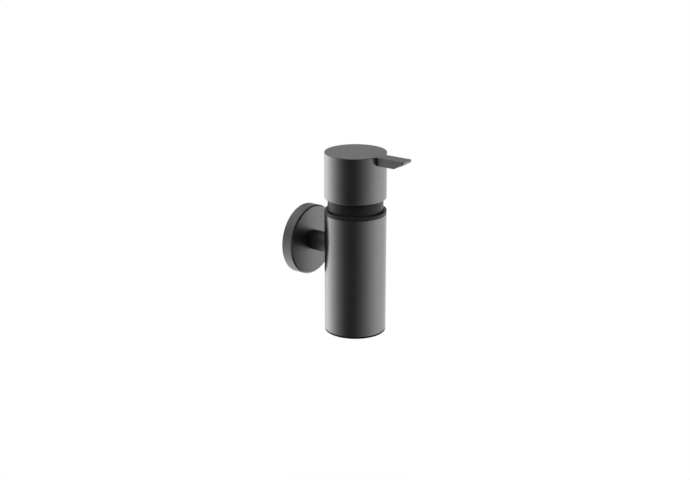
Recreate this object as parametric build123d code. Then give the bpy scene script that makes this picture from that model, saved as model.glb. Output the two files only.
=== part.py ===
from build123d import *
import os
from math import sqrt

# A wall mounted pump soap dispenser: rosette, arm, steel sleeve, soap container and pump head.
# Millimetres. The wall is the plane y = 0, the arm lies along the Y axis and +Z is up. The
# dispenser stands out along -Y, and the sleeve's own axis is upright at y = -WALL_TO_AXIS.

# Wall fixing
ROSETTE_D = 64.0           # outside of the round cover
ROSETTE_DEPTH = 11.0       # wall to the cover's front
COVER_FRONT = 2.0          # thickness of the cover's front wall
COVER_WALL = 2.2           # thickness of the cover's side wall
COVER_BEVEL = 1.3          # cover's front edge
PLATE_GAP = 0.3            # wall plate to cover, all round
PLATE_BASE = 3.0           # thickness of the wall plate's floor
PLATE_DEPTH = 6.5          # height of the wall plate's rim
PLATE_RIM = 3.6            # thickness of that rim
PLATE_WINDOW_D = 20.0      # opening behind the nut
SLOT_WIDTH = 4.8           # wall screw slots
SLOT_LENGTH = 8.0
SLOT_SPACING = 36.0
GRUB_D = 4.0               # locking screw from below
GRUB_LENGTH = 4.5
GRUB_TIP = 1.2             # length of its cone
GRUB_SINK = 0.3            # below the cover's surface
GRUB_KEY = 2.0             # hex socket across flats
GRUB_KEY_DEPTH = 1.8
GRUB_POCKET_GAP = 0.2      # screw to its pocket in the plate
THREAD_GAP = 0.05          # radial play left for a thread

# Arm and its clamping stud
WALL_TO_AXIS = 58.0        # wall to the sleeve's axis
ARM_D = 18.0
ARM_EDGE = 0.5             # chamfer where the arm meets the cover
STUD_D = 6.0
STUD_GAP = 0.2             # stud to the holes it passes
STUD_PROUD = 0.8           # beyond the nut
NUT_FLATS = 10.0
NUT_HEIGHT = 3.2
WASHER_D = 11.8
WASHER_THICK = 1.6
WASHER_SPLIT = 0.8
WELD_GAP = 0.02            # coped ends to the sleeve

# Sleeve and its foot
SLEEVE_D = 55.0
SLEEVE_WALL = 1.2
SLEEVE_LENGTH = 107.7
SLEEVE_ABOVE_ARM = 34.0    # arm's axis up to the sleeve's rim
SLEEVE_EDGE = 0.2          # chamfer on the tube's ends
FOOT_HEIGHT = 1.5          # what shows below the sleeve
FOOT_INSET = 0.2           # foot inside the sleeve's outline
PLUG_HEIGHT = 5.0          # part of the foot inside the sleeve
PLUG_FIT = 0.1
PLUG_WALL = 1.8
FOOT_FLOOR = 2.0
DRAIN_D = 8.0
FOOT_RIBS = 4
FOOT_RIB_THICK = 1.5
FOOT_RIB_DROP = 1.0        # rib tops below the plug's rim

# Soap container
RING_HEIGHT = 3.2          # flange that rests on the sleeve's rim
RING_EDGE = 0.3            # chamfer on the flange
CONTAINER_GAP = 0.5        # container to sleeve
CONTAINER_WALL = 1.4
CONTAINER_FLOOR = 2.0
CONTAINER_RAISE = 1.5      # container above the foot's plug
CONTAINER_ROUND = 4.0      # outer bottom edge
CONTAINER_INNER_ROUND = 3.0
SEAT_DEPTH = 1.6           # lid's seat below the flange's top
SEAT_WIDTH = 0.7
LAND_LENGTH = 11.0         # thicker mouth below the seat
LAND_TAPER = 1.0

# Pump lid with the neck that shows
NECK_STEP = 2.8            # neck inside the sleeve's outline
NECK_GAP = 0.3             # neck to the container's flange
NECK_WALL = 2.0
NECK_OVERLAP = 4.8         # neck inside the head at rest
NECK_EDGE = 0.6
LID_PLATE = 2.0
SKIRT_LENGTH = 9.0
SKIRT_WALL = 2.6
SKIRT_GAP = 0.3            # skirt to the container's mouth
SEAL_GROOVE_DEPTH = 1.1
SEAL_GROOVE_WIDTH = 1.9
SEAL_GROOVE_RAISE = 2.0    # groove above the skirt's end
SEAL_GAP = 0.04
UPSTAND_HEIGHT = 2.6       # ring on the lid that grips the retainer
UPSTAND_WALL = 1.5
LID_RIBS = 6
LID_RIB_THICK = 1.4
LID_RIB_HEIGHT = 4.0
LID_RIB_BOSS_WALL = 1.6

# Pump
BARREL_BORE = 12.0
BARREL_WALL = 1.4
BARREL_GAP = 0.2           # barrel to the lid's hole
FLANGE_WIDTH = 2.8         # housing flange beyond the barrel
FLANGE_THICK = 1.4
GASKET_THICK = 1.0
RETAINER_TOP = 2.0
RETAINER_WALL = 1.6
RETAINER_FIT = 0.05
FLANGE_GAP = 0.1           # flange to the retainer's inside
GUIDE_DROP = 3.0           # guide tube below the lid's top
GUIDE_BARREL_GAP = 0.3
VENT_D = 1.6
VENT_DROP = 4.5            # vent below the lid's top
STEM_D = 6.8
STEM_BORE = 3.6
STEM_RUN_GAP = 0.08        # stem in its guide
STEM_FLANGE_D = 9.6
STEM_FLANGE_THICK = 1.2
PISTON_HEIGHT = 5.8
PISTON_STOP_GAP = 0.05     # piston to the guide at rest
PISTON_RUN_GAP = 0.05      # piston lips in the barrel
PISTON_WAIST = 0.8         # waist inside the lips
PISTON_LIP = 1.2
PISTON_LIP_TAPER = 0.9
PISTON_GRIP = 0.02
SPRING_LENGTH = 25.0
SPRING_WIRE = 1.0
SPRING_D = 8.6             # mean diameter
SPRING_COILS = 7
SPRING_END_GAP = 0.1
CAGE_THICK = 1.2
CAGE_GAP = 0.1
CAGE_SLOT = 1.6
CAGE_SLOT_REACH = 3.2
INLET_BALL_D = 5.0
INLET_LIFT = 1.3
INLET_PORT_D = 3.2
INLET_PORT_LENGTH = 1.5
BALL_SIDE_GAP = 0.7        # inlet ball to its chamber
BALL_SEAT_GAP = 0.03
TAIL_LENGTH = 9.5          # dip tube socket
TAIL_WALL = 1.5
TUBE_D = 5.4
TUBE_WALL = 0.8
TUBE_GRIP = 0.04
TUBE_END_GAP = 0.1
TUBE_FLOOR_GAP = 3.0       # dip tube's end to the container's floor
TUBE_CUT = 2.4             # height of the slanted cut

# Pump head
HEAD_GAP = 11.0            # flange to the head at rest
STROKE = 10.0
STOP_GAP = 0.6             # left between the stops at full stroke
HEAD_HEIGHT = 41.2
SHELL_WALL = 1.0
SHELL_TOP = 1.5
SHELL_EDGE = 0.5
INSERT_GAP = 0.2           # insert to the shell's inside
INSERT_PLATE = 2.0
INSERT_SPOUT_GAP = 0.5     # insert's plate below the spout
BOSS_WALL = 5.0            # around the stem
RIB_COUNT = 6
RIB_THICK = 1.6
RIB_HEIGHT = 4.0
SOCKET_GAP = 0.05          # stem in the head's socket
SOCKET_END_GAP = 0.1
OUTLET_BALL_D = 4.0
OUTLET_PORT_D = 2.4
OUTLET_PORT_LENGTH = 1.5
OUTLET_SEAT_DEPTH = 1.0
OUTLET_LIFT = 1.5
OUTLET_SIDE_GAP = 0.5      # outlet ball to its chamber
OUTLET_ROOM = 7.0          # stem's top below the spout's bore
STOP_PIN_D = 1.4
NIPPLE_WALL = 1.2

# Spout
SPOUT_REACH = 54.3         # sleeve's axis to the tip
SPOUT_WIDTH = 13.0
SPOUT_THICK = 7.5
SPOUT_TIP = 2.4            # height of the tip's front
SPOUT_SLOPE = 9.5          # length of the slanted underside
SPOUT_ROOT = 6.0           # part inside the shell's outline
SPOUT_EDGE = 0.3
SPOUT_CORNER = 0.8         # upright edges of the tip
SPOUT_BORE = 3.8
SPOUT_NIPPLE_GAP = 0.1
LINER_GAP = 0.05
LINER_WALL = 0.5
LINER_PROUD = 0.4          # beyond the slanted face

# Heights that follow, from the foot up
SLEEVE_R = SLEEVE_D / 2
SLEEVE_BORE_R = SLEEVE_R - SLEEVE_WALL
SLEEVE_TOP_Z = SLEEVE_ABOVE_ARM
SLEEVE_BOTTOM_Z = SLEEVE_TOP_Z - SLEEVE_LENGTH
FOOT_BOTTOM_Z = SLEEVE_BOTTOM_Z - FOOT_HEIGHT
PLUG_TOP_Z = SLEEVE_BOTTOM_Z + PLUG_HEIGHT
CONTAINER_BOTTOM_Z = PLUG_TOP_Z + CONTAINER_RAISE
CONTAINER_FLOOR_Z = CONTAINER_BOTTOM_Z + CONTAINER_FLOOR
RING_TOP_Z = SLEEVE_TOP_Z + RING_HEIGHT
SEAT_Z = RING_TOP_Z - SEAT_DEPTH
HEAD_BOTTOM_Z = RING_TOP_Z + HEAD_GAP
HEAD_TOP_Z = HEAD_BOTTOM_Z + HEAD_HEIGHT
CEILING_Z = HEAD_TOP_Z - SHELL_TOP
LID_TOP_Z = HEAD_BOTTOM_Z + NECK_OVERLAP
FLANGE_Z = LID_TOP_Z + GASKET_THICK
FLANGE_TOP_Z = FLANGE_Z + FLANGE_THICK
RETAINER_TOP_Z = FLANGE_TOP_Z + RETAINER_TOP
BORE_Z = HEAD_TOP_Z - (SPOUT_THICK + SPOUT_TIP) / 2
STEM_TOP_Z = BORE_Z - OUTLET_ROOM
BOSS_BOTTOM_Z = RETAINER_TOP_Z + STROKE + STOP_GAP
INSERT_PLATE_Z = HEAD_TOP_Z - SPOUT_THICK - INSERT_SPOUT_GAP - INSERT_PLATE

# Heights that follow, down the pump
GUIDE_END_Z = LID_TOP_Z - GUIDE_DROP
PISTON_TOP_Z = GUIDE_END_Z - PISTON_STOP_GAP
PISTON_BOTTOM_Z = PISTON_TOP_Z - PISTON_HEIGHT
STEM_BOTTOM_Z = PISTON_BOTTOM_Z - STEM_FLANGE_THICK
SPRING_BOTTOM_Z = STEM_BOTTOM_Z - SPRING_LENGTH
CAGE_Z = SPRING_BOTTOM_Z - CAGE_THICK

# Radii that follow
NECK_R = SLEEVE_R - NECK_STEP
NECK_BORE_R = NECK_R - NECK_WALL
SEAT_R = NECK_R + NECK_GAP
MOUTH_R = NECK_R - SEAT_WIDTH
CONTAINER_R = SLEEVE_BORE_R - CONTAINER_GAP
CONTAINER_BORE_R = CONTAINER_R - CONTAINER_WALL
SKIRT_R = MOUTH_R - SKIRT_GAP
SEAL_GROOVE_R = SKIRT_R - SEAL_GROOVE_DEPTH
BARREL_BORE_R = BARREL_BORE / 2
BARREL_R = BARREL_BORE_R + BARREL_WALL
LID_HOLE_R = BARREL_R + BARREL_GAP
FLANGE_R = BARREL_R + FLANGE_WIDTH
RETAINER_R = FLANGE_R + FLANGE_GAP + RETAINER_WALL
UPSTAND_R = RETAINER_R + RETAINER_FIT
STEM_R = STEM_D / 2
INLET_BALL_R = INLET_BALL_D / 2
OUTLET_BALL_R = OUTLET_BALL_D / 2
INLET_CHAMBER_R = INLET_BALL_R + BALL_SIDE_GAP
OUTLET_CHAMBER_R = OUTLET_BALL_R + OUTLET_SIDE_GAP
TUBE_R = TUBE_D / 2
TAIL_BORE_R = TUBE_R + TUBE_GRIP
BOSS_R = STEM_R + BOSS_WALL
SHELL_BORE_R = SLEEVE_R - SHELL_WALL
LINER_R = SPOUT_BORE / 2 - LINER_GAP
COVER_BORE_R = ROSETTE_D / 2 - COVER_WALL
PLATE_R = COVER_BORE_R - PLATE_GAP
GRUB_DEPTH = PLATE_DEPTH / 2
GRUB_OUT_R = ROSETTE_D / 2 - GRUB_SINK
GRUB_IN_R = GRUB_OUT_R - GRUB_LENGTH
SPOUT_INNER = SLEEVE_R - SPOUT_ROOT

# The balls rest on 45 degree cones. A cone that leaves a port of radius r at height z holds the
# centre of a ball of radius b at z - r + b * sqrt(2).
INLET_BALL_Z = CAGE_Z - INLET_LIFT - BALL_SEAT_GAP - INLET_BALL_R
INLET_CONE_Z = INLET_BALL_Z - BALL_SEAT_GAP + INLET_PORT_D / 2 - INLET_BALL_R * sqrt(2)
TAIL_TOP_Z = INLET_CONE_Z - INLET_PORT_LENGTH
TAIL_BOTTOM_Z = TAIL_TOP_Z - TAIL_LENGTH
OUTLET_CONE_Z = STEM_TOP_Z - OUTLET_SEAT_DEPTH
OUTLET_BALL_Z = OUTLET_CONE_Z - OUTLET_PORT_D / 2 + OUTLET_BALL_R * sqrt(2) + BALL_SEAT_GAP
STOP_PIN_Z = OUTLET_BALL_Z + OUTLET_BALL_R + OUTLET_LIFT + BALL_SEAT_GAP

FROM_BOTTOM = (Align.CENTER, Align.CENTER, Align.MIN)
SAME = 1e-4


def turned(*outline):
    """A solid turned about the Z axis from an outline of (radius, height) points."""
    points = [(radius, 0, z) for radius, z in outline]
    return revolve(make_face(Polyline(*points, close=True)), Axis.Z)


def wall_turned(*outline):
    """A solid turned about the arm's axis from an outline of (radius, depth off the wall) points."""
    points = [(radius, -depth, 0) for radius, depth in outline]
    return revolve(make_face(Polyline(*points, close=True)), Axis.Y)


def rod(radius, low, high):
    """An upright cylinder between two heights."""
    return Pos(0, 0, low) * Cylinder(radius, high - low, align=FROM_BOTTOM)


def wall_rod(radius, near, far, z=0):
    """A cylinder square to the wall between two depths off the wall."""
    return Pos(0, -near, z) * Rot(90, 0, 0) * Cylinder(radius, far - near, align=FROM_BOTTOM)


def rims(shape, radius, z):
    """The circular edges of an upright turned shape at one radius and height."""
    circles = shape.edges().filter_by(GeomType.CIRCLE)
    return [e for e in circles if abs(e.radius - radius) < SAME and abs(e.center().Z - z) < SAME]


def wall_rims(shape, radius, depth):
    """The circular edges about the arm's axis at one radius and depth off the wall."""
    circles = shape.edges().filter_by(GeomType.CIRCLE)
    return [e for e in circles if abs(e.radius - radius) < SAME and abs(e.center().Y + depth) < SAME]


def ribs(count, inner, outer, thick, low, high):
    """Upright radial ribs in a circular pattern."""
    length = outer - inner
    rib = Pos((inner + outer) / 2, 0, (low + high) / 2) * Box(length, thick, high - low)
    return [Rot(0, 0, 360 * i / count) * rib for i in range(count)]


def on_axis(shape):
    """Moves a shape made about the Z axis to the sleeve's axis."""
    return Pos(0, -WALL_TO_AXIS, 0) * shape


def wall_plate():
    plate = wall_turned(
        (PLATE_WINDOW_D / 2, 0),
        (PLATE_R, 0),
        (PLATE_R, PLATE_DEPTH),
        (PLATE_R - PLATE_RIM, PLATE_DEPTH),
        (PLATE_R - PLATE_RIM, PLATE_BASE),
        (PLATE_WINDOW_D / 2, PLATE_BASE),
    )
    slot = extrude(SlotOverall(SLOT_LENGTH, SLOT_WIDTH), PLATE_BASE, both=True)
    for side in (-1, 1):
        plate -= Pos(side * SLOT_SPACING / 2, 0, 0) * Rot(90, 0, 0) * slot
    pocket = rod(GRUB_D / 2 + GRUB_POCKET_GAP, -ROSETTE_D / 2, -GRUB_IN_R + SOCKET_END_GAP)
    return plate - Pos(0, -GRUB_DEPTH, 0) * pocket


def rosette_cover():
    outer, hole = ROSETTE_D / 2, STUD_D / 2 + STUD_GAP
    inside = ROSETTE_DEPTH - COVER_FRONT
    cover = wall_turned(
        (COVER_BORE_R, 0),
        (outer, 0),
        (outer, ROSETTE_DEPTH),
        (hole, ROSETTE_DEPTH),
        (hole, inside),
        (COVER_BORE_R, inside),
    )
    cover = chamfer(wall_rims(cover, outer, ROSETTE_DEPTH), COVER_BEVEL)
    tapped = rod(GRUB_D / 2 + THREAD_GAP, -ROSETTE_D, -PLATE_R)
    return cover - Pos(0, -GRUB_DEPTH, 0) * tapped


def grub_screw():
    radius = GRUB_D / 2
    screw = turned(
        (0, -GRUB_OUT_R),
        (radius, -GRUB_OUT_R),
        (radius, -GRUB_IN_R - GRUB_TIP),
        (radius - GRUB_TIP, -GRUB_IN_R),
        (0, -GRUB_IN_R),
    )
    key = extrude(RegularPolygon(GRUB_KEY / 2, 6, major_radius=False), GRUB_KEY_DEPTH)
    return Pos(0, -GRUB_DEPTH, 0) * (screw - Pos(0, 0, -GRUB_OUT_R) * key)


def sleeve_envelope():
    """The sleeve's outside, for coping what is welded to it."""
    return on_axis(rod(SLEEVE_R + WELD_GAP, SLEEVE_BOTTOM_Z, SLEEVE_TOP_Z))


def support_arm():
    bore = STUD_D / 2 + STUD_GAP
    arm = wall_turned(
        (bore, ROSETTE_DEPTH),
        (ARM_D / 2 - ARM_EDGE, ROSETTE_DEPTH),
        (ARM_D / 2, ROSETTE_DEPTH + ARM_EDGE),
        (ARM_D / 2, WALL_TO_AXIS),
        (bore, WALL_TO_AXIS),
    )
    return arm - sleeve_envelope()


def nut_depth():
    """How far off the wall the nut's rear face is."""
    return ROSETTE_DEPTH - COVER_FRONT - WASHER_THICK - NUT_HEIGHT


def mounting_stud():
    return wall_rod(STUD_D / 2, nut_depth() - STUD_PROUD, WALL_TO_AXIS) - sleeve_envelope()


def lock_washer():
    near = nut_depth() + NUT_HEIGHT
    far = near + WASHER_THICK
    ring = wall_rod(WASHER_D / 2, near, far) - wall_rod(STUD_D / 2 + STUD_GAP, near, far)
    split = Pos(0, -(near + far) / 2, WASHER_D / 2) * Box(WASHER_SPLIT, WASHER_THICK, WASHER_D)
    return ring - split


def stud_nut():
    hexagon = extrude(RegularPolygon(NUT_FLATS / 2, 6, major_radius=False), NUT_HEIGHT)
    nut = Pos(0, -nut_depth(), 0) * Rot(90, 0, 0) * hexagon
    return nut - wall_rod(STUD_D / 2 + THREAD_GAP, 0, ROSETTE_DEPTH)


def outer_sleeve():
    tube = turned(
        (SLEEVE_BORE_R, SLEEVE_BOTTOM_Z),
        (SLEEVE_R, SLEEVE_BOTTOM_Z),
        (SLEEVE_R, SLEEVE_TOP_Z),
        (SLEEVE_BORE_R, SLEEVE_TOP_Z),
    )
    ends = rims(tube, SLEEVE_R, SLEEVE_BOTTOM_Z) + rims(tube, SLEEVE_R, SLEEVE_TOP_Z)
    return on_axis(chamfer(ends, SLEEVE_EDGE))


def sleeve_base():
    plug = SLEEVE_BORE_R - PLUG_FIT
    floor_z = FOOT_BOTTOM_Z + FOOT_FLOOR
    base = turned(
        (DRAIN_D / 2, FOOT_BOTTOM_Z),
        (SLEEVE_R - FOOT_INSET, FOOT_BOTTOM_Z),
        (SLEEVE_R - FOOT_INSET, SLEEVE_BOTTOM_Z),
        (plug, SLEEVE_BOTTOM_Z),
        (plug, PLUG_TOP_Z),
        (plug - PLUG_WALL, PLUG_TOP_Z),
        (plug - PLUG_WALL, floor_z),
        (DRAIN_D / 2, floor_z),
    )
    rib_top = PLUG_TOP_Z - FOOT_RIB_DROP
    for rib in ribs(FOOT_RIBS, DRAIN_D, plug - PLUG_WALL / 2, FOOT_RIB_THICK, FOOT_BOTTOM_Z, rib_top):
        base += rib
    return on_axis(base)


def container():
    land_z = SEAT_Z - LAND_LENGTH
    jar = turned(
        (0, CONTAINER_BOTTOM_Z),
        (CONTAINER_R, CONTAINER_BOTTOM_Z),
        (CONTAINER_R, SLEEVE_TOP_Z),
        (SLEEVE_R, SLEEVE_TOP_Z),
        (SLEEVE_R, RING_TOP_Z - RING_EDGE),
        (SLEEVE_R - RING_EDGE, RING_TOP_Z),
        (SEAT_R, RING_TOP_Z),
        (SEAT_R, SEAT_Z),
        (MOUTH_R, SEAT_Z),
        (MOUTH_R, land_z),
        (CONTAINER_BORE_R, land_z - LAND_TAPER),
        (CONTAINER_BORE_R, CONTAINER_FLOOR_Z),
        (0, CONTAINER_FLOOR_Z),
    )
    jar = fillet(rims(jar, CONTAINER_R, CONTAINER_BOTTOM_Z), CONTAINER_ROUND)
    return on_axis(fillet(rims(jar, CONTAINER_BORE_R, CONTAINER_FLOOR_Z), CONTAINER_INNER_ROUND))


def pump_lid():
    skirt_z = SEAT_Z - SKIRT_LENGTH
    groove_z = skirt_z + SEAL_GROOVE_RAISE
    plate_z = LID_TOP_Z - LID_PLATE
    lid = turned(
        (SKIRT_R - SKIRT_WALL, skirt_z),
        (SKIRT_R, skirt_z),
        (SKIRT_R, groove_z),
        (SEAL_GROOVE_R, groove_z),
        (SEAL_GROOVE_R, groove_z + SEAL_GROOVE_WIDTH),
        (SKIRT_R, groove_z + SEAL_GROOVE_WIDTH),
        (SKIRT_R, SEAT_Z),
        (NECK_R, SEAT_Z),
        (NECK_R, LID_TOP_Z),
        (UPSTAND_R + UPSTAND_WALL, LID_TOP_Z),
        (UPSTAND_R + UPSTAND_WALL, LID_TOP_Z + UPSTAND_HEIGHT),
        (UPSTAND_R, LID_TOP_Z + UPSTAND_HEIGHT),
        (UPSTAND_R, LID_TOP_Z),
        (LID_HOLE_R, LID_TOP_Z),
        (LID_HOLE_R, plate_z - LID_RIB_HEIGHT),
        (LID_HOLE_R + LID_RIB_BOSS_WALL, plate_z - LID_RIB_HEIGHT),
        (LID_HOLE_R + LID_RIB_BOSS_WALL, plate_z),
        (NECK_BORE_R, plate_z),
        (NECK_BORE_R, SEAT_Z + NECK_WALL),
        (SKIRT_R - SKIRT_WALL, SEAT_Z),
    )
    lid = fillet(rims(lid, NECK_R, LID_TOP_Z), NECK_EDGE)
    inner, outer = LID_HOLE_R + LID_RIB_BOSS_WALL / 2, NECK_R - NECK_WALL / 2
    low, high = plate_z - LID_RIB_HEIGHT, LID_TOP_Z - LID_PLATE / 2
    for rib in ribs(LID_RIBS, inner, outer, LID_RIB_THICK, low, high):
        lid += rib
    return on_axis(lid)


def lid_seal():
    wire = (MOUTH_R - SEAL_GROOVE_R) / 2
    groove_z = SEAT_Z - SKIRT_LENGTH + SEAL_GROOVE_RAISE
    ring = Torus(SEAL_GROOVE_R + wire, wire - SEAL_GAP)
    return on_axis(Pos(0, 0, groove_z + SEAL_GROOVE_WIDTH / 2) * ring)


def housing_gasket():
    return on_axis(rod(FLANGE_R, LID_TOP_Z, FLANGE_Z) - rod(LID_HOLE_R, LID_TOP_Z, FLANGE_Z))


def pump_housing():
    port = INLET_PORT_D / 2
    cone_top_z = INLET_CONE_Z + INLET_CHAMBER_R - port
    shoulder_z = CAGE_Z - BARREL_WALL
    tail = TAIL_BORE_R + TAIL_WALL
    housing = turned(
        (BARREL_BORE_R, FLANGE_TOP_Z),
        (FLANGE_R, FLANGE_TOP_Z),
        (FLANGE_R, FLANGE_Z),
        (BARREL_R, FLANGE_Z),
        (BARREL_R, shoulder_z),
        (INLET_CHAMBER_R + BARREL_WALL, shoulder_z - BARREL_WALL),
        (INLET_CHAMBER_R + BARREL_WALL, INLET_CONE_Z),
        (tail, INLET_CONE_Z - INLET_PORT_LENGTH / 2),
        (tail, TAIL_BOTTOM_Z),
        (TAIL_BORE_R, TAIL_BOTTOM_Z),
        (TAIL_BORE_R, TAIL_TOP_Z),
        (port, TAIL_TOP_Z),
        (port, INLET_CONE_Z),
        (INLET_CHAMBER_R, cone_top_z),
        (INLET_CHAMBER_R, CAGE_Z),
        (BARREL_BORE_R, CAGE_Z),
    )
    vent = wall_rod(VENT_D / 2, 0, 2 * BARREL_R, LID_TOP_Z - LID_PLATE - VENT_DROP)
    return on_axis(housing - vent)


def housing_retainer():
    hole = STEM_R + STEM_RUN_GAP
    guide = BARREL_BORE_R - GUIDE_BARREL_GAP
    ring = turned(
        (hole, RETAINER_TOP_Z),
        (RETAINER_R, RETAINER_TOP_Z),
        (RETAINER_R, LID_TOP_Z),
        (FLANGE_R + FLANGE_GAP, LID_TOP_Z),
        (FLANGE_R + FLANGE_GAP, FLANGE_TOP_Z),
        (guide, FLANGE_TOP_Z),
        (guide, GUIDE_END_Z),
        (hole, GUIDE_END_Z),
    )
    return on_axis(ring)


def dip_tube():
    low, high = CONTAINER_FLOOR_Z + TUBE_FLOOR_GAP, TAIL_TOP_Z - TUBE_END_GAP
    tube = rod(TUBE_R, low, high) - rod(TUBE_R - TUBE_WALL, low, high)
    corners = [(-TUBE_D, low - TUBE_CUT / 2), (TUBE_D, low - TUBE_CUT / 2), (TUBE_D, low + TUBE_CUT * 3 / 2)]
    wedge = make_face(Polyline(*[(x, 0, z) for x, z in corners], close=True))
    return on_axis(tube - extrude(wedge, TUBE_D, both=True))


def inlet_ball():
    return on_axis(Pos(0, 0, INLET_BALL_Z) * Sphere(INLET_BALL_R))


def ball_cage():
    cage = rod(BARREL_BORE_R - CAGE_GAP, CAGE_Z, SPRING_BOTTOM_Z)
    slot = Pos(CAGE_SLOT_REACH / 2, 0, CAGE_Z) * Box(CAGE_SLOT_REACH, CAGE_SLOT, 2 * CAGE_THICK)
    for i in range(3):
        cage -= Rot(0, 0, 120 * i) * slot
    return on_axis(cage)


def pump_spring():
    inset = SPRING_WIRE / 2 + SPRING_END_GAP
    height = SPRING_LENGTH - 2 * inset
    coil = Helix(height / SPRING_COILS, height, SPRING_D / 2)
    wire = Plane(origin=coil @ 0, z_dir=coil % 0) * Circle(SPRING_WIRE / 2)
    return on_axis(Pos(0, 0, SPRING_BOTTOM_Z + inset) * sweep(wire, path=coil, is_frenet=True))


def pump_piston():
    bore = STEM_R + PISTON_GRIP
    lip = BARREL_BORE_R - PISTON_RUN_GAP
    waist = lip - PISTON_WAIST
    low_lip, high_lip = PISTON_BOTTOM_Z + PISTON_LIP, PISTON_TOP_Z - PISTON_LIP
    piston = turned(
        (bore, PISTON_BOTTOM_Z),
        (lip, PISTON_BOTTOM_Z),
        (lip, low_lip),
        (waist, low_lip + PISTON_LIP_TAPER),
        (waist, high_lip - PISTON_LIP_TAPER),
        (lip, high_lip),
        (lip, PISTON_TOP_Z),
        (bore, PISTON_TOP_Z),
    )
    return on_axis(piston)


def pump_stem():
    bore, port = STEM_BORE / 2, OUTLET_PORT_D / 2
    foot_z = STEM_BOTTOM_Z + STEM_FLANGE_THICK
    port_z = OUTLET_CONE_Z - OUTLET_PORT_LENGTH
    stem = turned(
        (bore, STEM_BOTTOM_Z),
        (STEM_FLANGE_D / 2, STEM_BOTTOM_Z),
        (STEM_FLANGE_D / 2, foot_z),
        (STEM_R, foot_z),
        (STEM_R, STEM_TOP_Z),
        (port + OUTLET_SEAT_DEPTH, STEM_TOP_Z),
        (port, OUTLET_CONE_Z),
        (port, port_z),
        (bore, port_z - (bore - port)),
    )
    return on_axis(stem)


def outlet_ball():
    return on_axis(Pos(0, 0, OUTLET_BALL_Z) * Sphere(OUTLET_BALL_R))


def head_insert():
    plate_r = SHELL_BORE_R - INSERT_GAP
    plate_top_z = INSERT_PLATE_Z + INSERT_PLATE
    chamber_top_z = BORE_Z + LINER_R
    insert = rod(BOSS_R, BOSS_BOTTOM_Z, CEILING_Z) + rod(plate_r, INSERT_PLATE_Z, plate_top_z)
    rib_low = INSERT_PLATE_Z - RIB_HEIGHT
    for rib in ribs(RIB_COUNT, STEM_R + BOSS_WALL / 2, plate_r - RIB_THICK, RIB_THICK, rib_low, plate_top_z):
        insert += rib
    nipple_end = SPOUT_INNER - SPOUT_NIPPLE_GAP
    insert += wall_rod(SPOUT_BORE / 2 + NIPPLE_WALL, 0, nipple_end, BORE_Z)
    insert -= rod(STEM_R + SOCKET_GAP, BOSS_BOTTOM_Z, STEM_TOP_Z + SOCKET_END_GAP)
    insert -= rod(OUTLET_CHAMBER_R, STEM_TOP_Z, chamber_top_z)
    insert -= wall_rod(SPOUT_BORE / 2, 0, nipple_end, BORE_Z)
    return on_axis(insert + rod(STOP_PIN_D / 2, STOP_PIN_Z, CEILING_Z))


def head_shell():
    shell = turned(
        (SLEEVE_R, HEAD_BOTTOM_Z),
        (SLEEVE_R, HEAD_TOP_Z),
        (0, HEAD_TOP_Z),
        (0, CEILING_Z),
        (SHELL_BORE_R, CEILING_Z),
        (SHELL_BORE_R, HEAD_BOTTOM_Z),
    )
    edges = rims(shell, SLEEVE_R, HEAD_TOP_Z) + rims(shell, SLEEVE_R, HEAD_BOTTOM_Z)
    shell = fillet(edges, SHELL_EDGE)
    notch_low = HEAD_TOP_Z - SPOUT_THICK
    notch = Box(SPOUT_WIDTH, SPOUT_REACH, SPOUT_THICK, align=(Align.CENTER, Align.MAX, Align.MIN))
    return on_axis(shell - Pos(0, -SPOUT_INNER, notch_low) * notch)


def spout():
    low = HEAD_TOP_Z - SPOUT_THICK
    side = [
        (-SPOUT_INNER, HEAD_TOP_Z),
        (-SPOUT_REACH, HEAD_TOP_Z),
        (-SPOUT_REACH, HEAD_TOP_Z - SPOUT_TIP),
        (SPOUT_SLOPE - SPOUT_REACH, low),
        (-SPOUT_INNER, low),
    ]
    outline = make_face(Polyline(*[(0, y, z) for y, z in side], close=True))
    bar = extrude(outline, SPOUT_WIDTH / 2, both=True)
    tip = bar.edges().filter_by(Axis.Z).group_by(Axis.Y)[0]
    bar = fillet(tip, SPOUT_CORNER)
    root_face = bar.faces().sort_by(Axis.Y)[-1]
    bar = fillet([e for e in bar.edges() if e not in root_face.edges()], SPOUT_EDGE)
    inside = rod(SLEEVE_R, low, HEAD_TOP_Z)
    block = Pos(0, -SPOUT_INNER, low) * Box(
        SPOUT_WIDTH, SPOUT_ROOT, SPOUT_THICK, align=(Align.CENTER, Align.MAX, Align.MIN)
    )
    return on_axis(bar + (block & inside) - wall_rod(SPOUT_BORE / 2, 0, SPOUT_REACH, BORE_Z))


def spout_liner():
    slope = (SPOUT_THICK - SPOUT_TIP) / SPOUT_SLOPE
    end = SPOUT_REACH - SPOUT_SLOPE / 2 + LINER_PROUD
    start = OUTLET_CHAMBER_R + LINER_GAP
    tube = wall_rod(LINER_R, start, SPOUT_REACH, BORE_Z)
    tube -= wall_rod(LINER_R - LINER_WALL, start, SPOUT_REACH, BORE_Z)
    reach = SPOUT_THICK
    corners = [
        (-end + reach, BORE_Z - reach * slope),
        (-end - reach, BORE_Z + reach * slope),
        (-end - reach, BORE_Z - reach * slope),
    ]
    wedge = make_face(Polyline(*[(0, y, z) for y, z in corners], close=True))
    return on_axis(tube - extrude(wedge, SPOUT_WIDTH, both=True))


PIECES = (
    wall_plate,
    rosette_cover,
    grub_screw,
    support_arm,
    mounting_stud,
    lock_washer,
    stud_nut,
    outer_sleeve,
    sleeve_base,
    container,
    pump_lid,
    lid_seal,
    housing_gasket,
    pump_housing,
    housing_retainer,
    dip_tube,
    inlet_ball,
    ball_cage,
    pump_spring,
    pump_piston,
    pump_stem,
    outlet_ball,
    head_insert,
    head_shell,
    spout,
    spout_liner,
)

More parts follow.
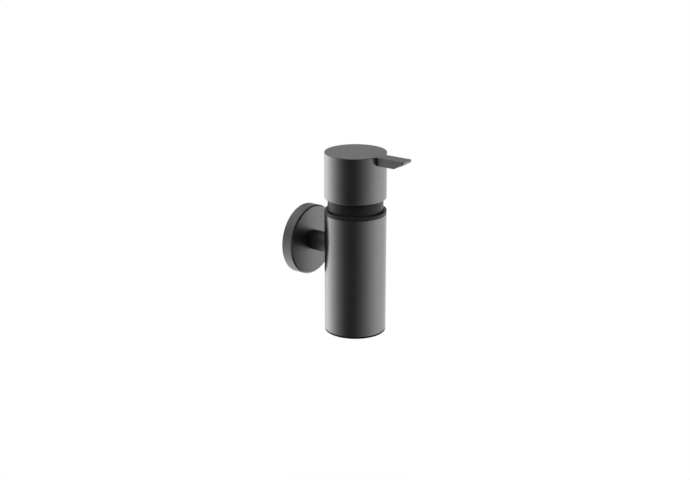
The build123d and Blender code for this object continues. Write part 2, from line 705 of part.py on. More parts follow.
os.makedirs("parts", exist_ok=True)
for piece in PIECES:
    export_step(piece(), f"parts/{piece.__name__}.step")
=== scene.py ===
# %% [markdown]
# A wall mounted soap dispenser: a round rosette carries a short arm, the arm carries a brushed
# steel sleeve, and a pump with a deep steel head stands in the soap container inside. The solids
# are already made and jointed. This lesson dresses them for a studio picture: first the camera,
# then the light, the finishes, and last the fine pieces that are better drawn as surfaces.

# %% Load the solids
import math

import bpy
import numpy as np
from mathutils import Matrix, Vector


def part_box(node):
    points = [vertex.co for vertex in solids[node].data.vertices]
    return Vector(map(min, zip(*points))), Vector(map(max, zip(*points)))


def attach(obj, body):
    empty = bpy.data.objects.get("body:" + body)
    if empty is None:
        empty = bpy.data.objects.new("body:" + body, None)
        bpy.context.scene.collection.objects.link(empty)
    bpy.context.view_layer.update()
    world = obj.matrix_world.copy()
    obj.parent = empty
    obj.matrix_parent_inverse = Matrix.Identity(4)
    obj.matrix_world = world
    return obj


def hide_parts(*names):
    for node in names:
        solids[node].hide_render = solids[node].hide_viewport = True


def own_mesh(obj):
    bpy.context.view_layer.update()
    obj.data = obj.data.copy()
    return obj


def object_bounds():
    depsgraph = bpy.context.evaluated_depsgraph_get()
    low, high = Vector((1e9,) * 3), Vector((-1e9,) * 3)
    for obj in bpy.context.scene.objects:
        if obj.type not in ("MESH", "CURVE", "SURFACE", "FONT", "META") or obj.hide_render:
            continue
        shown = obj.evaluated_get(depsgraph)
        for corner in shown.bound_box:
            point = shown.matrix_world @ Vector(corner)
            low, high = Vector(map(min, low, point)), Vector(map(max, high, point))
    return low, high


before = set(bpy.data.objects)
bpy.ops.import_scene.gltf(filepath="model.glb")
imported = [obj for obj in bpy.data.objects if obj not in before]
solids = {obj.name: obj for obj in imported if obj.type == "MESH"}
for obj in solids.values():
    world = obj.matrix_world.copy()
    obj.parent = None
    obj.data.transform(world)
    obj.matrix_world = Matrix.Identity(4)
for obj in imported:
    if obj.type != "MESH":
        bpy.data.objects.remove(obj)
cad_box = [list(corner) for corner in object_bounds()]
print("solids:", len(solids), "box in metres:", cad_box)

# %% [markdown]
# The camera. A product picture is usually taken from a little above and to one side. The view could
# be found by eye, but matching the outlines of the tube, head and rosette one by one gives the angle,
# the distance and the lens together, so those numbers are used here. A camera is placed by three
# directions: right, up and back, the last pointing from the object to the lens.

# %% Camera
VIEW_AZIMUTH = math.radians(-53.234)
VIEW_ELEVATION = math.radians(18.067)
VIEW_DISTANCE = 1.15363
VIEW_LENS, SENSOR_WIDTH = 67.63, 36      # millimetres
NEAREST, FARTHEST = 0.01, 50             # metres that the camera sees between
TUBE_AXIS = Vector((0.0, -0.058, 0.0))
AIM_HEIGHT = 0.00414                     # above the arm's axis
AIM_SIDE, AIM_UP = -0.00925, 0.00410     # shift of the aim across the picture


def view_directions(azimuth, elevation):
    """Right, up and back of a level camera: back leans up by the elevation, right stays level."""
    right = Vector((math.cos(azimuth), math.sin(azimuth), 0))
    flat_back = Vector((math.sin(azimuth), -math.cos(azimuth), 0))
    back = flat_back * math.cos(elevation) + Vector((0, 0, math.sin(elevation)))
    return right, back.cross(right), back


right, up, back = view_directions(VIEW_AZIMUTH, VIEW_ELEVATION)
aim = TUBE_AXIS + Vector((0, 0, AIM_HEIGHT)) + right * AIM_SIDE + up * AIM_UP
lens = bpy.data.cameras.new("studio_camera")
lens.sensor_width, lens.lens = SENSOR_WIDTH, VIEW_LENS
lens.clip_start, lens.clip_end = NEAREST, FARTHEST
camera = bpy.data.objects.new("studio_camera", lens)
turned = Matrix((right, up, back)).transposed().to_4x4()
camera.matrix_world = Matrix.Translation(aim + back * VIEW_DISTANCE) @ turned
bpy.context.scene.collection.objects.link(camera)
bpy.context.scene.camera = camera
bpy.context.scene.view_settings.view_transform = "Standard"
print("camera at", [round(c, 4) for c in camera.matrix_world.translation])

# %% [markdown]
# Writing shaders as sums. A finish is a small recipe of numbers that vary over a surface. Drawing its
# nodes one by one hides the sum, so one class wraps a socket and lets Python's own operators add the
# Math nodes. Every other node comes from one method that takes its type, its settings and its sockets.

# %% Levels
class Level:
    """A number that varies over a surface. Sums with it add Math nodes to its recipe."""

    def __init__(self, recipe, socket):
        self.recipe, self.socket = recipe, socket

    def __add__(self, other):
        return self.recipe.sum("ADD", self, other)

    def __radd__(self, other):
        return self.recipe.sum("ADD", other, self)

    def __sub__(self, other):
        return self.recipe.sum("SUBTRACT", self, other)

    def __rsub__(self, other):
        return self.recipe.sum("SUBTRACT", other, self)

    def __mul__(self, other):
        return self.recipe.sum("MULTIPLY", self, other)

    def __rmul__(self, other):
        return self.recipe.sum("MULTIPLY", other, self)

    def __pow__(self, other):
        return self.recipe.sum("POWER", self, other)

    def at_most(self, ceiling):
        """The level, or the ceiling where that is less."""
        return self.recipe.sum("MINIMUM", self, ceiling)

    def sway(self, reach):
        """A level from 0 to 1 turned into one that goes half of reach to either side of nothing."""
        return (self - 0.5) * reach


print("levels can be added, subtracted, multiplied and raised to a power")

# %% Recipes
class Recipe:
    """Adds nodes to one node tree."""

    def __init__(self, tree):
        self.tree = tree
        tree.nodes.clear()

    def node(self, kind, settings=None, sockets=None, out=0):
        """One node: its settings are set first, then each socket gets a value or a link."""
        made = self.tree.nodes.new(kind)
        for name, value in (settings or {}).items():
            setattr(made, name, value)
        for name, value in (sockets or {}).items():
            if isinstance(value, Level):
                self.tree.links.new(value.socket, made.inputs[name])
            else:
                made.inputs[name].default_value = value
        return Level(self, made.outputs[out]) if made.outputs else made

    def sum(self, operation, first, second):
        """A Math node of two levels or numbers."""
        return self.node("ShaderNodeMath", {"operation": operation}, {0: first, 1: second})

    def smooth(self, value, low, high):
        """0 below low, 1 above high, and a soft step between them."""
        settings = {"interpolation_type": "SMOOTHSTEP"}
        return self.node("ShaderNodeMapRange", settings, {"Value": value, 1: low, 2: high})

    def tint(self, factor, first, second):
        """A colour between two colours."""
        ends = {0: factor, 6: (*first, 1), 7: (*second, 1)}
        return self.node("ShaderNodeMix", {"data_type": "RGBA"}, ends, 2)

    def grey(self, factor, dark, light):
        """A neutral colour between two grey levels."""
        return self.tint(factor, (dark, dark, dark), (light, light, light))

    def grain(self, stretch, detail, roughness=0.6):
        """Noise from 0 to 1 with the given length along each axis of the object."""
        here = self.node("ShaderNodeTexCoord", out="Object")
        scale = tuple(1 / length for length in stretch)
        place = self.node("ShaderNodeMapping", {}, {"Vector": here, "Scale": scale})
        sockets = {"Vector": place, "Scale": 1, "Detail": detail, "Roughness": roughness}
        return self.node("ShaderNodeTexNoise", {}, sockets)

    def facing(self, axis):
        """Square of the cosine to an axis: 1 where the surface faces along it, either way."""
        normal = self.node("ShaderNodeTexCoord", out="Normal")
        part = self.node("ShaderNodeSeparateXYZ", {}, {0: normal}, axis)
        return part * part

    def bump(self, height, depth):
        """Normals of a surface that a level from 0 to 1 raises by a depth in metres."""
        return self.node("ShaderNodeBump", {}, {"Height": height, "Distance": depth})


print("recipe class ready")

# %% [markdown]
# The room. Metal shows what stands around it more than its own colour. The picture's tube is darkest
# where it faces the lens and light towards both edges, so the room is dark behind the camera and has
# a soft light on each side and one above. Panels could stand there, but a room that depends only on
# direction is smooth and has no hard edges. Each light is a lobe: a power of how far a ray points its
# way. Metal seen in metal is nearly black in the picture, so a ray that has met a second mirror sees
# nothing of the left light, and the right and top lights are dimmer for it.

# %% Directions in the room
world = bpy.data.worlds.new("studio_room")
world.use_nodes = True
bpy.context.scene.world = world
room = Recipe(world.node_tree)
flat_back = Vector((back.x, back.y, 0)).normalized()


def studio_way(turn, rise):
    """The direction turned to the right from the camera and raised, both in degrees."""
    turn, rise = math.radians(turn), math.radians(rise)
    level_way = flat_back * math.cos(turn) + right * math.sin(turn)
    return level_way * math.cos(rise) + Vector((0, 0, math.sin(rise)))


def toward(way):
    """Cosine between a ray's direction and a fixed way."""
    ray = room.node("ShaderNodeTexCoord", out="Generated")
    return room.node("ShaderNodeVectorMath", {"operation": "DOT_PRODUCT"}, {0: ray, 1: way}, "Value")


def light_lobe(turn, rise, level, power):
    """A soft light whose level falls as a power of half of one plus the cosine to its middle."""
    return (toward(studio_way(turn, rise)) * 0.5 + 0.5) ** power * level


def light_path(ray):
    """What the room can know of a ray that comes to it."""
    return room.node("ShaderNodeLightPath", out=ray)


print("the camera looks along", [round(-c, 3) for c in back])

# %% Room lights
ROOM_DARK = 0.026            # level behind the camera
RIGHT_LIGHT = {"turn": 108, "rise": -14, "level": 0.90, "power": 3.4}
LEFT_LIGHT = {"turn": -140, "rise": -25, "level": 1.57, "power": 5.1}
TOP_LIGHT = {"turn": -127, "rise": 45, "level": 0.485, "power": 4.2}
SIDES_END = (-0.13, 0.31)    # rays that rise between these sines lose both side lights
RIGHT_END = (0.37, 0.81)     # rays that fall between these sines lose the right one
FADED = 0.92                 # share of a light that is gone past its end
MIRRORS = (1, 2)             # glossy depth after one mirror and after two
MIRROR_DIM = 0.45            # what a second mirror leaves of the right and top lights

second_mirror = room.smooth(light_path("Glossy Depth"), *MIRRORS)
dim = 1 - second_mirror * (1 - MIRROR_DIM)
ray_rise = toward((0, 0, 1))
right_kept = 1 - room.smooth(0 - ray_rise, *RIGHT_END) * FADED
sides_kept = 1 - room.smooth(ray_rise, *SIDES_END) * FADED
right_side = light_lobe(**RIGHT_LIGHT) * right_kept * dim
left_side = light_lobe(**LEFT_LIGHT) * (1 - second_mirror)
lights = ROOM_DARK + (right_side + left_side) * sides_kept + light_lobe(**TOP_LIGHT) * dim
lit_room = room.node("ShaderNodeBackground", {}, {"Color": lights, "Strength": 1.0})
print("room lights at", RIGHT_LIGHT["turn"], "and", LEFT_LIGHT["turn"], "degrees from the camera")

# %% [markdown]
# The white paper. Such pictures are taken in front of white paper that sweeps down behind the object
# and under it. A bent sheet could be modelled, but it would throw light on the object and have an edge.
# Here the camera sees white all round, and the first mirror shows it behind and below the object. Matt
# surfaces get no light from it, and a second mirror doesn't show it.

# %% White paper
PAPER_MIDDLE = {"turn": 174, "rise": -33}
PAPER_EDGE = (50, 24)        # degrees from its middle: where it starts and where it is full white
WHITE = (1, 1, 1, 1)

paper_start, paper_full = (math.cos(math.radians(edge)) for edge in PAPER_EDGE)
paper = room.smooth(toward(studio_way(**PAPER_MIDDLE)), paper_start, paper_full)
mirror_ray = light_path("Is Glossy Ray") + light_path("Is Transmission Ray")
mirrored = mirror_ray * paper * (1 - second_mirror)
white_share = (light_path("Is Camera Ray") + mirrored).at_most(1)
white_room = room.node("ShaderNodeBackground", {}, {"Color": WHITE, "Strength": 1.0})
mixed = room.node("ShaderNodeMixShader", {}, {0: white_share, 1: lit_room, 2: white_room})
room.node("ShaderNodeOutputWorld", {}, {"Surface": mixed})
print("paper within", PAPER_EDGE[0], "degrees of its middle,", len(room.tree.nodes), "nodes in the room")

# %% [markdown]
# Lamps. Plastic needs light that falls on it, not only a room to reflect. Two large soft panels give
# that, one overhead and one on the left, kept out of the metal's reflections so that they leave no
# hard shapes there.

# %% Soft panels
OVERHEAD_PANEL = {"place": (-0.3, -0.5, 1.3), "size": 0.9, "watts": 16}
LEFT_PANEL = {"place": (-1.1, 0.5, 0.5), "size": 0.8, "watts": 5}


def soft_panel(name, place, size, watts):
    """A square lamp at a place, turned towards the tube."""
    panel = bpy.data.lights.new(name, "AREA")
    panel.size, panel.energy = size, watts
    lamp = bpy.data.objects.new(name, panel)
    way = Vector(place) - TUBE_AXIS
    lamp.matrix_world = Matrix.Translation(place) @ way.to_track_quat("Z", "Y").to_matrix().to_4x4()
    lamp.visible_glossy = False
    bpy.context.scene.collection.objects.link(lamp)


soft_panel("overhead_panel", **OVERHEAD_PANEL)
soft_panel("left_panel", **LEFT_PANEL)

# %% [markdown]
# Meshes from arrays. Each drawn piece is a grid of points, worked out as one array. Its faces could be
# listed one by one, but all are alike: each joins a point to its neighbours in the next column and the
# next row, so one sum over row and column numbers gives all of them.

# %% Meshes from arrays
def mesh_object(name, points, quads, caps=()):
    """A smooth mesh from a whole array of points, four-cornered faces and end caps."""
    mesh = bpy.data.meshes.new(name)
    faces = quads.tolist() + [cap.tolist() for cap in caps]
    mesh.from_pydata(points.reshape(-1, 3).tolist(), [], faces)
    mesh.shade_smooth()
    made = bpy.data.objects.new(name, mesh)
    bpy.context.scene.collection.objects.link(made)
    return made


def grid_faces(rows, columns, wrap_rows=False):
    """Four-cornered faces of a grid. Its columns join round, and its rows too where asked."""
    r = np.arange(rows if wrap_rows else rows - 1)[:, None]
    c = np.arange(columns)[None, :]
    r2, c2 = (r + 1) % rows, (c + 1) % columns
    corners = [r * columns + c, r * columns + c2, r2 * columns + c2, r2 * columns + c]
    return np.stack(corners, -1).reshape(-1, 4)


print("a grid of 3 rows and 8 columns has", len(grid_faces(3, 8)), "faces")

# %% [markdown]
# The floor. The dispenser hangs on a wall, so nothing stands on the floor. A pale disc well below it
# catches its shadow. A plain square would do, but its edge would show, so the disc turns clear towards
# its rim and runs into the white. It is kept out of the metal's reflections and holds back no light.

# %% Floor disc
FLOOR_DROP = 0.36                    # below the part
FLOOR_RADIUS = 0.42
FLOOR_RINGS, FLOOR_SPOKES = 24, 96


def disc(radius, rings, spokes, height, centre):
    """Points at radius times a ring's share, from the rim in, turned by each spoke's angle."""
    share = np.linspace(1, 1 / rings, rings)[:, None]
    angle = np.linspace(0, 2 * np.pi, spokes, endpoint=False)[None, :]
    x, y = radius * share * np.cos(angle), radius * share * np.sin(angle)
    return np.stack([x + centre.x, y + centre.y, np.full_like(x, height)], -1)


floor_height = cad_box[0][2] - FLOOR_DROP
floor_points = disc(FLOOR_RADIUS, FLOOR_RINGS, FLOOR_SPOKES, floor_height, TUBE_AXIS)
inner_ring = np.arange(FLOOR_SPOKES) + (FLOOR_RINGS - 1) * FLOOR_SPOKES
floor = mesh_object("floor", floor_points, grid_faces(FLOOR_RINGS, FLOOR_SPOKES), [inner_ring])
floor.visible_glossy = False
floor.visible_shadow = False
print("floor at", round(floor_height, 3))

# %% Floor finish
FLOOR_FADE = (0.22, 0.40)            # radii between which it turns clear
FLOOR_GREY = (0.9, 0.9, 0.9, 1)


def new_finish(name):
    """A material with an empty recipe."""
    paint = bpy.data.materials.new(name)
    paint.use_nodes = True
    return paint, Recipe(paint.node_tree)


floor_paint, pale = new_finish("pale_floor")
spot = pale.node("ShaderNodeTexCoord", out="Object")
flat = pale.node("ShaderNodeMapping", {}, {"Vector": spot, "Location": -TUBE_AXIS, "Scale": (1, 1, 0)})
reach = pale.node("ShaderNodeVectorMath", {"operation": "LENGTH"}, {0: flat}, "Value")
matt = pale.node("ShaderNodeBsdfDiffuse", {}, {"Color": FLOOR_GREY})
clear = pale.node("ShaderNodeBsdfTransparent")
look = pale.node("ShaderNodeMixShader", {}, {0: pale.smooth(reach, *FLOOR_FADE), 1: matt, 2: clear})
pale.node("ShaderNodeOutputMaterial", {}, {"Surface": look})
floor.data.materials.append(floor_paint)
print("floor clear beyond", FLOOR_FADE[1], "metres")

# %% [markdown]
# Brushed steel. The tube and head are sheet steel, brushed round their axis with a fine belt, so the
# scratches run level. Scratches could be modelled as lines, but at arm's length they are a grain:
# noise that is long one way and short the other. It makes the level of grey, the roughness and a tiny
# bump vary together. The flat top and the spout are brushed along the spout, and the rosette's face
# is brushed level. A turned edge, such as the rosette's bevel, is smoother than the face beside it and
# shows the dark room as a thin line. The spout and the arm get a darker grey: painted shade for the shade
# on them.

# %% Steel finish
SCRATCH_LONG, SCRATCH_FINE = 0.016, 0.0006       # metres along and across a scratch
SCRATCH_DEPTH = 3e-6
BAND_WIDTH = 9                                   # widths of a scratch in a band of them
CLOUD = (0.03, 0.03, 0.03)                       # metres over which a sheet changes slowly
LINE_SHARE, BAND_SHARE, CLOUD_SHARE = 0.6, 0.2, 0.2
TONE_STEP = (0.3, 0.7)                           # levels of a grain that give the darkest and lightest
STEEL_DARK, STEEL_LIGHT = 0.275, 0.325
SPOUT_ARM_PAINTED_SHADE = 0.87                                 # painted shade: a darker grey on the spout and the arm
TUBE_ROUGH, WALL_ROUGH, EDGE_ROUGH = 0.25, 0.43, 0.20
LINE_ROUGH, CLOUD_ROUGH = 0.07, 0.05             # how far the grain sways the roughness
FLAT_STEP = (0.55, 0.9)                          # squares of the cosine between which a flat begins
EDGE_START, EDGE_END = (0.1, 0.3), (0.7, 0.9)    # and between which a slanted edge begins and ends


def close_finish(recipe, sockets):
    """Ends a recipe with the surface shader and its output."""
    surface = recipe.node("ShaderNodeBsdfPrincipled", {}, sockets)
    recipe.node("ShaderNodeOutputMaterial", {}, {"Surface": surface})


def brushed_steel(name, across, flat_axis, flat_across, rough, painted_shade=1.0):
    """Steel whose scratches are fine across the given axes, and differ where it faces flat_axis."""
    paint, recipe = new_finish(name)
    facing = recipe.facing("XYZ".index(flat_axis))
    flat = recipe.smooth(facing, *FLAT_STEP)
    edge = recipe.smooth(facing, *EDGE_START) * (1 - recipe.smooth(facing, *EDGE_END))

    def scratches(fine_axes, width):
        """Noise of the given width across some axes, and long along the others."""
        stretch = [width if axis in fine_axes else SCRATCH_LONG for axis in "XYZ"]
        return recipe.grain(stretch, detail=4, roughness=0.62)

    def brushing(width):
        """Scratches of one width, which run another way on the flat."""
        return scratches(across, width) * (1 - flat) + scratches(flat_across, width) * flat

    lines = brushing(SCRATCH_FINE)
    bands = brushing(SCRATCH_FINE * BAND_WIDTH)
    cloud = recipe.grain(CLOUD, detail=2)
    tone = lines * LINE_SHARE + bands * BAND_SHARE + cloud * CLOUD_SHARE
    belt_rough = rough * (1 - edge) + edge * EDGE_ROUGH
    sockets = {
        # painted shade: painted_shade darkens the grey of a part that shade falls on
        "Base Color": recipe.grey(recipe.smooth(tone, *TONE_STEP), STEEL_DARK * painted_shade, STEEL_LIGHT * painted_shade),
        "Metallic": 1.0,
        "Roughness": belt_rough + lines.sway(LINE_ROUGH) + cloud.sway(CLOUD_ROUGH),
        "Normal": recipe.bump(lines, SCRATCH_DEPTH),
    }
    close_finish(recipe, sockets)
    return paint


print("steel between grey levels", STEEL_DARK, "and", STEEL_LIGHT)

# %% Steel on the solids
def dress(paint, *nodes):
    """Gives a finish to the solids of these names."""
    for node in nodes:
        for place in solids[node].material_slots:
            place.material = paint
    print(paint.name, "on", ", ".join(nodes))


steel_tube = brushed_steel("steel_tube", across="Z", flat_axis="Z", flat_across="X", rough=TUBE_ROUGH)
# painted shade: the spout and the arm get a darker grey for the shade that falls on them
steel_spout = brushed_steel(
    "steel_spout", across="XZ", flat_axis="Z", flat_across="X", rough=TUBE_ROUGH, painted_shade=SPOUT_ARM_PAINTED_SHADE
)
steel_rosette = brushed_steel("steel_rosette", across="Y", flat_axis="Y", flat_across="Z", rough=WALL_ROUGH)
steel_arm = brushed_steel(
    "steel_arm", across="Y", flat_axis="Y", flat_across="Z", rough=WALL_ROUGH, painted_shade=SPOUT_ARM_PAINTED_SHADE
)
dress(steel_tube, "outer_sleeve", "head_shell")
dress(steel_spout, "spout")
dress(steel_rosette, "rosette_cover")
dress(steel_arm, "support_arm")

# %% [markdown]
# Moulded plastic. The neck, the container with its black ring and the foot are black plastic from a
# spark-finished mould, which leaves a fine even grain and a soft sheen. The foot is duller and rougher,
# so that it stays a thin black line. The pump inside is natural plastic, milky and a little glossier,
# and the seals are rubber. Each could be one flat colour, but the grain breaks up its highlights as a
# mould does. All are one recipe with other levels.

# %% Plastic and rubber finishes
MOULD_GRAIN, RUBBER_GRAIN = 0.0006, 0.0004
FLOW = (0.02, 0.02, 0.035)                       # metres over which a moulding changes slowly
FLOW_SHARE, FINE_SHARE = 0.7, 0.3
FLOW_ROUGH, FINE_ROUGH = 0.08, 0.14              # how far the grain sways the roughness
SHEEN, FOOT_SHEEN = 0.5, 0.15                    # strength of the mirror on plastic


def moulded(name, dark, light, rough, depth, grain=MOULD_GRAIN, sheen=SHEEN):
    """Plastic between two colours, with a fine mould grain in its roughness and bump."""
    paint, recipe = new_finish(name)
    fine = recipe.grain((grain, grain, grain), detail=3)
    flow = recipe.grain(FLOW, detail=2)
    tone = flow * FLOW_SHARE + fine * FINE_SHARE
    sockets = {
        "Base Color": recipe.tint(recipe.smooth(tone, *TONE_STEP), dark, light),
        "Roughness": rough + fine.sway(FINE_ROUGH) + flow.sway(FLOW_ROUGH),
        "Specular IOR Level": sheen,
        "Normal": recipe.bump(fine, depth),
    }
    close_finish(recipe, sockets)
    return paint


black_moulding = moulded(
    "black_moulding", dark=(0.012, 0.012, 0.0123), light=(0.018, 0.018, 0.0184), rough=0.38, depth=6e-6
)
foot_moulding = moulded(
    "foot_moulding", dark=(0.006, 0.006, 0.0062), light=(0.010, 0.010, 0.0102), rough=0.66, depth=1e-5,
    sheen=FOOT_SHEEN
)
milky_moulding = moulded(
    "milky_moulding", dark=(0.70, 0.70, 0.68), light=(0.78, 0.78, 0.765), rough=0.34, depth=4e-6
)
piston_moulding = moulded(
    "piston_moulding", dark=(0.60, 0.63, 0.66), light=(0.67, 0.70, 0.73), rough=0.42, depth=4e-6
)
tube_moulding = moulded(
    "tube_moulding", dark=(0.66, 0.69, 0.69), light=(0.74, 0.77, 0.77), rough=0.22, depth=2e-6
)
seal_rubber = moulded(
    "seal_rubber", dark=(0.016, 0.016, 0.016), light=(0.030, 0.030, 0.030), rough=0.62, depth=1e-5,
    grain=RUBBER_GRAIN
)
dress(black_moulding, "container", "pump_lid")
dress(foot_moulding, "sleeve_base")
dress(milky_moulding, "pump_housing", "housing_retainer", "ball_cage", "pump_stem", "head_insert")
dress(piston_moulding, "pump_piston")
dress(tube_moulding, "dip_tube", "spout_liner")
dress(seal_rubber, "lid_seal", "housing_gasket")

# %% [markdown]
# Small metal. The wall plate is a zinc casting with a slightly grainy skin, the screws and the nut are
# bright zinc plated steel, and the spring and balls are stainless steel, drawn or ground smooth. One
# grey metal could serve for all, but each skin has its own grain, so one recipe takes the grain's
# length along each axis and the levels that go with it.

# %% Small metal finishes
CAST_GRAIN = (0.0009, 0.0009, 0.0009)
PLATED_GRAIN = (0.002, 0.0004, 0.002)
DRAWN_GRAIN = (0.002, 0.002, 0.0006)
GROUND_GRAIN = (0.002, 0.002, 0.002)
SKIN_ROUGH = 0.15                                # how far the grain sways the roughness


def bare_metal(name, stretch, dark, light, rough, depth):
    """Metal between two grey levels, with a grain of the given lengths."""
    paint, recipe = new_finish(name)
    skin = recipe.grain(stretch, detail=3)
    sockets = {
        "Base Color": recipe.grey(recipe.smooth(skin, *TONE_STEP), dark, light),
        "Metallic": 1.0,
        "Roughness": rough + skin.sway(SKIN_ROUGH),
        "Normal": recipe.bump(skin, depth),
    }
    close_finish(recipe, sockets)
    return paint


zinc_casting = bare_metal("zinc_casting", CAST_GRAIN, dark=0.42, light=0.52, rough=0.46, depth=2e-5)
plated_steel = bare_metal("plated_steel", PLATED_GRAIN, dark=0.55, light=0.68, rough=0.30, depth=4e-6)
spring_wire = bare_metal("spring_wire", DRAWN_GRAIN, dark=0.55, light=0.66, rough=0.22, depth=2e-6)
ground_ball = bare_metal("ground_ball", GROUND_GRAIN, dark=0.60, light=0.68, rough=0.10, depth=5e-7)
dress(zinc_casting, "wall_plate")
dress(plated_steel, "grub_screw", "mounting_stud", "lock_washer", "stud_nut")
dress(spring_wire, "pump_spring")
dress(ground_ball, "inlet_ball", "outlet_ball")

# %% [markdown]
# Carried sections. A coil of wire and a thread ridge are both a small closed outline carried along a
# line round the tube's axis. A curve with a bevel could do it, but its outline can turn about the line
# on the way. Here each place on the line has its own sideways direction, so the outline stays upright.

# %% Carried sections
def carried(path, sideways, section):
    """A closed section carried along a path. At each path point the section's first number runs along
    the sideways direction made square to the path, and its second along the cross product of the two."""
    along = np.gradient(path, axis=0)
    along /= np.linalg.norm(along, axis=1, keepdims=True)
    first = sideways - along * np.sum(sideways * along, axis=1, keepdims=True)
    first /= np.linalg.norm(first, axis=1, keepdims=True)
    second = np.cross(along, first)
    u, v = section[..., 0, None], section[..., 1, None]
    return path[:, None, :] + u * first[:, None, :] + v * second[:, None, :]


def tube_faces(rows, columns):
    """Side faces of a carried section and the two end caps."""
    ring = np.arange(columns)
    return grid_faces(rows, columns), [ring[::-1], ring + (rows - 1) * columns]


def round_section(radius, sides):
    """Points of a circle: the radius times the cosine and the sine of evenly spaced angles."""
    angle = np.linspace(0, 2 * np.pi, sides, endpoint=False)
    return radius * np.stack([np.cos(angle), np.sin(angle)], -1)[None, :, :]


def outward(angle):
    """Level directions away from the tube's axis: the cosine and the sine of each angle."""
    return np.stack([np.cos(angle), np.sin(angle), np.zeros_like(angle)], -1)


def about_tube_axis(radius, angle, height):
    """Points at a radius, angle and height round the tube's axis."""
    x, y = radius * np.cos(angle) + TUBE_AXIS.x, radius * np.sin(angle) + TUBE_AXIS.y
    return np.stack([x, y, height], -1)


print("sections turn about x", round(TUBE_AXIS.x, 4), "and y", round(TUBE_AXIS.y, 4))

# %% [markdown]
# The return spring. A compression spring has closed ends: the last turn at each end lies flat so that
# it seats squarely. The coil could be a screw modifier on a circle, but then every turn would have the
# same pitch. Here the centre line is worked out first, and a round section is carried along it. When
# the head is pressed, the spring shortens towards its seat.

# %% Return spring
WIRE_WIDTH = 0.001
SPRING_TURNS = 8.5
END_TURNS = 1.0              # closed turns at each end
EASE_TURNS = 0.5             # part of a turn over which the coil opens
SPRING_STEPS, WIRE_SIDES = 900, 12


def spring_line(low, high, wire, turns, steps):
    """Angle and height. The angle runs evenly. The height climbs one wire per turn, and between the
    closed ends also a share of the free length: the running total of a pitch that eases in and out."""
    turn_at = np.linspace(0, turns, steps)
    inner = np.clip(np.minimum(turn_at, turns - turn_at) - END_TURNS, 0, EASE_TURNS) / EASE_TURNS
    share = np.cumsum(inner * inner * (3 - 2 * inner))
    closed = wire * turn_at
    free = (high - low - wire) - closed[-1]
    return turn_at * 2 * np.pi, low + wire / 2 + closed + free * share / share[-1]


spring_low, spring_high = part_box("pump_spring")
coil_radius = (spring_high.x - spring_low.x - WIRE_WIDTH) / 2
angle, height = spring_line(spring_low.z, spring_high.z, WIRE_WIDTH, SPRING_TURNS, SPRING_STEPS)
line = about_tube_axis(coil_radius, angle, height)
coil = carried(line, outward(angle), round_section(WIRE_WIDTH / 2, WIRE_SIDES))
spring = mesh_object("return_spring", coil, *tube_faces(*coil.shape[:2]))
spring.data.materials.append(spring_wire)
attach(spring, "pump_unit")
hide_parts("pump_spring")
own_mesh(spring)

# %% [markdown]
# The stud and its nut. From the wall side, the end of the arm's stud shows through the plate with a
# thin nut on it. A thread is a ridge that climbs one pitch per turn. It could be cut with a swept
# tool, but one formula is lighter: the stud is a cylinder whose radius follows a triangle wave of
# angle and length together.

# %% Threaded stud
THREAD_PITCH = 0.001
THREAD_DEPTH = 0.00055
STUD_SHORT = 0.0004          # the drawn stud stops this far before the solid's end at the tube
PITCH_STEPS, STUD_SPOKES = 8, 40


def threaded_rod(radius, start, end, pitch, depth, pitch_steps, spokes):
    """Points round the arm's axis. The radius falls from the crest by depth times a triangle wave of
    length over pitch minus angle over a full turn, and both ends taper down to the thread's root."""
    rows = int(abs(end - start) / pitch * pitch_steps)
    y = np.linspace(start, end, rows)[:, None]
    turn_at = np.linspace(0, 1, spokes, endpoint=False)[None, :]
    wave = np.abs(2 * np.mod((y - start) / pitch - turn_at, 1) - 1)
    taper = np.clip(np.minimum(np.abs(y - start), np.abs(end - y)) / pitch, 0, 1)
    r = radius - depth * np.maximum(wave, 1 - taper)
    y_all = np.broadcast_to(y, r.shape)
    return np.stack([r * np.cos(2 * np.pi * turn_at), y_all, r * np.sin(2 * np.pi * turn_at)], -1)


stud_low, stud_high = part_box("mounting_stud")
stud_radius = (stud_high.x - stud_low.x) / 2
stud_end = stud_low.y + STUD_SHORT
rod = threaded_rod(stud_radius, stud_high.y, stud_end, THREAD_PITCH, THREAD_DEPTH, PITCH_STEPS, STUD_SPOKES)
stud = mesh_object("threaded_stud", rod, *tube_faces(*rod.shape[:2]))
stud.data.materials.append(plated_steel)
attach(stud, "wall_mount")
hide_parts("mounting_stud")
print("stud", round((stud_high.y - stud_low.y) * 1000, 1), "mm,", len(stud.data.polygons), "faces")

# %% [markdown]
# A hexagon nut is a six-sided bar whose corners are turned off by a cone at each end. A cone could be
# cut from the bar, but the outside is also just the smaller of two radii at every angle: the hexagon's
# and the cone's.

# %% Hexagon nut
NUT_BORE_GAP = 0.0001
NUT_SPOKES = 72
CHAMFER_START = 0.96                 # radius of the cone at a face, as a share of half the flats
CHAMFER_SLOPE = math.tan(math.radians(60))
CHAMFER_RINGS = np.array([0.0, 0.14, 0.28, 0.42, 0.56])    # depths in halves of the nut's thickness
SHARP_ANGLE = math.radians(25)       # edges sharper than this stay crisp


def hexagon_nut(flats, bore, front, rear, spokes):
    """A closed loop of rings: bore, rear face, flank, front face and back to the bore. A ring's radius
    is the least of the hexagon's (half the flats over the cosine of the angle to the nearest flat)
    and a cone that starts just inside the flats at each face."""
    angle = np.linspace(0, 2 * np.pi, spokes, endpoint=False)
    to_flat = np.mod(angle, np.pi / 3) - np.pi / 6
    inset = CHAMFER_RINGS * abs(rear - front) / 2
    cone = flats / 2 * CHAMFER_START + inset * CHAMFER_SLOPE
    flank = np.minimum(flats / 2 / np.cos(to_flat), cone[:, None])
    bore_ring = np.full((1, spokes), bore)
    r = np.concatenate([bore_ring, flank, flank[::-1], bore_ring])
    y = np.concatenate([[rear], rear - inset, (front + inset)[::-1], [front]])
    y_all = np.broadcast_to(y[:, None], r.shape)
    return np.stack([r * np.cos(angle), y_all, r * np.sin(angle)], -1)


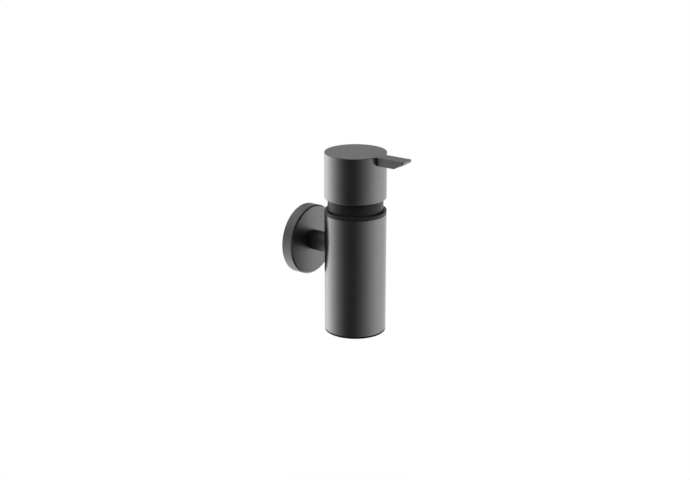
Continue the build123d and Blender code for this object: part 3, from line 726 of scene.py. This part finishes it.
nut_low, nut_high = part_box("stud_nut")
nut_flats = min(nut_high.x - nut_low.x, nut_high.z - nut_low.z)
nut_points = hexagon_nut(nut_flats, stud_radius + NUT_BORE_GAP, nut_low.y, nut_high.y, NUT_SPOKES)
nut = mesh_object("hexagon_nut", nut_points, grid_faces(*nut_points.shape[:2], wrap_rows=True))
nut.data.set_sharp_from_angle(angle=SHARP_ANGLE)
nut.data.materials.append(plated_steel)
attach(nut, "wall_mount")
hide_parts("stud_nut")
print("nut across flats", round(nut_flats * 1000, 2), "mm")

# %% [markdown]
# The lid's thread. The pump lid screws into the container's mouth. Its skirt carries a low rounded
# thread with ends that run out, which shows when the pump is lifted out for refilling. A curve with a
# bevel could draw it, but its ends would be blunt. Here the section that is carried along the helix
# gets lower towards both ends.

# %% Lid thread
LID_THREAD = {
    "radius": 0.0237,        # of the lid's skirt
    "low": 0.0314,           # height of the thread's lower end over the arm's axis
    "pitch": 0.0026,
    "turns": 1.4,
    "height": 0.00024,
    "width": 0.0012,
}
RIDGE_STEPS, CROWN_POINTS = 240, 9
RIDGE_ROOT = -0.3            # the section's lowest point, inside the skirt, in heights of the ridge
RUN_OUT = 0.1                # share of the length over which an end runs out
RUN_OUT_LEAST = 0.05         # share of the height that is left at the very end


def thread_ridge(radius, low, pitch, turns, height, width):
    """A rounded ridge carried along a helix. Its height over the skirt is a half wave across its width,
    and over the run-out at each end it falls evenly to the least share that is left."""
    share = np.linspace(0, 1, RIDGE_STEPS)
    angle = 2 * np.pi * turns * share
    line = about_tube_axis(radius, angle, low + pitch * turns * share)
    across = np.linspace(-0.5, 0.5, CROWN_POINTS)
    crown = np.concatenate([np.cos(np.pi * across), [RIDGE_ROOT]])
    spread = np.concatenate([across, [0.0]]) * width
    fade = np.clip(np.minimum(share, 1 - share) / RUN_OUT, RUN_OUT_LEAST, 1)[:, None]
    rise = crown[None, :] * height * fade
    section = np.stack([rise, np.broadcast_to(spread, rise.shape)], -1)
    return carried(line, outward(angle), section)


ridge_points = thread_ridge(**LID_THREAD)
ridge = mesh_object("lid_thread", ridge_points, *tube_faces(*ridge_points.shape[:2]))
ridge.data.materials.append(black_moulding)
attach(ridge, "pump_unit")
print("lid thread", len(ridge.data.polygons), "faces")
